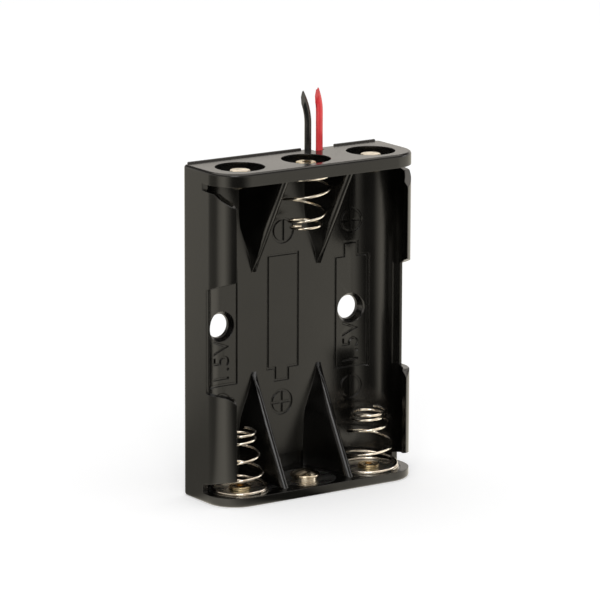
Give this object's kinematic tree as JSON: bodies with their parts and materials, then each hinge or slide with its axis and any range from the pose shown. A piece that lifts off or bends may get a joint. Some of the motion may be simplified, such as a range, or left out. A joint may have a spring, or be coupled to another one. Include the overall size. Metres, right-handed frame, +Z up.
{
  "type": "cylindrical cell holder",
  "caption": "Open moulded holder for AAA cells side by side, with conical coil springs, domed button contacts, curled side tabs, wedge ribs and a red and a black lead.",
  "frame": {"origin": "middle of the underside of the bottom wall, level with the surface that the holder stands on", "axes": "+Z up along the cells, -Y out of the open front, +Y through the flat back, +X to the right seen from the front"},
  "size_m": [0.0366, 0.0122, 0.0617],
  "materials": {
    "black_plastic": "satin moulded",
    "spring_wire": "nickel plated",
    "eyelet_brass": "plated",
    "button_metal": "nickel plated",
    "contact_plate": "tinned",
    "red_insulation": "glossy insulation",
    "black_insulation": "glossy insulation",
    "copper_core": "bare copper strands",
    "solder": "bright solder"
  },
  "bodies": {
    "holder": {"case": "black_plastic", "eyelet_left": "eyelet_brass", "eyelet_middle": "eyelet_brass", "eyelet_right": "eyelet_brass", "button_left": "button_metal", "button_middle": "button_metal", "button_right": "button_metal", "link_lower": "contact_plate", "link_upper": "contact_plate", "terminal_plus": "contact_plate", "terminal_minus": "contact_plate", "lead_red": "red_insulation", "lead_black": "black_insulation", "core_red": "copper_core", "core_black": "copper_core", "solder_red": "solder", "solder_black": "solder"},
    "left_spring": {"spring_left": "spring_wire"},
    "middle_spring": {"spring_middle": "spring_wire"},
    "right_spring": {"spring_right": "spring_wire"}
  },
  "joints": [
    {"name": "left_spring_press", "type": "slide", "parent": "holder", "child": "left_spring", "axis": [0, 0, -1], "range_m": [0, 0.005], "stiffness_N_per_m": 300, "deforming": ["spring_left"]},
    {"name": "middle_spring_press", "type": "slide", "parent": "holder", "child": "middle_spring", "axis": [0, 0, 1], "range_m": [0, 0.005], "stiffness_N_per_m": 300, "deforming": ["spring_middle"]},
    {"name": "right_spring_press", "type": "slide", "parent": "holder", "child": "right_spring", "axis": [0, 0, -1], "range_m": [0, 0.005], "stiffness_N_per_m": 300, "deforming": ["spring_right"]}
  ]
}
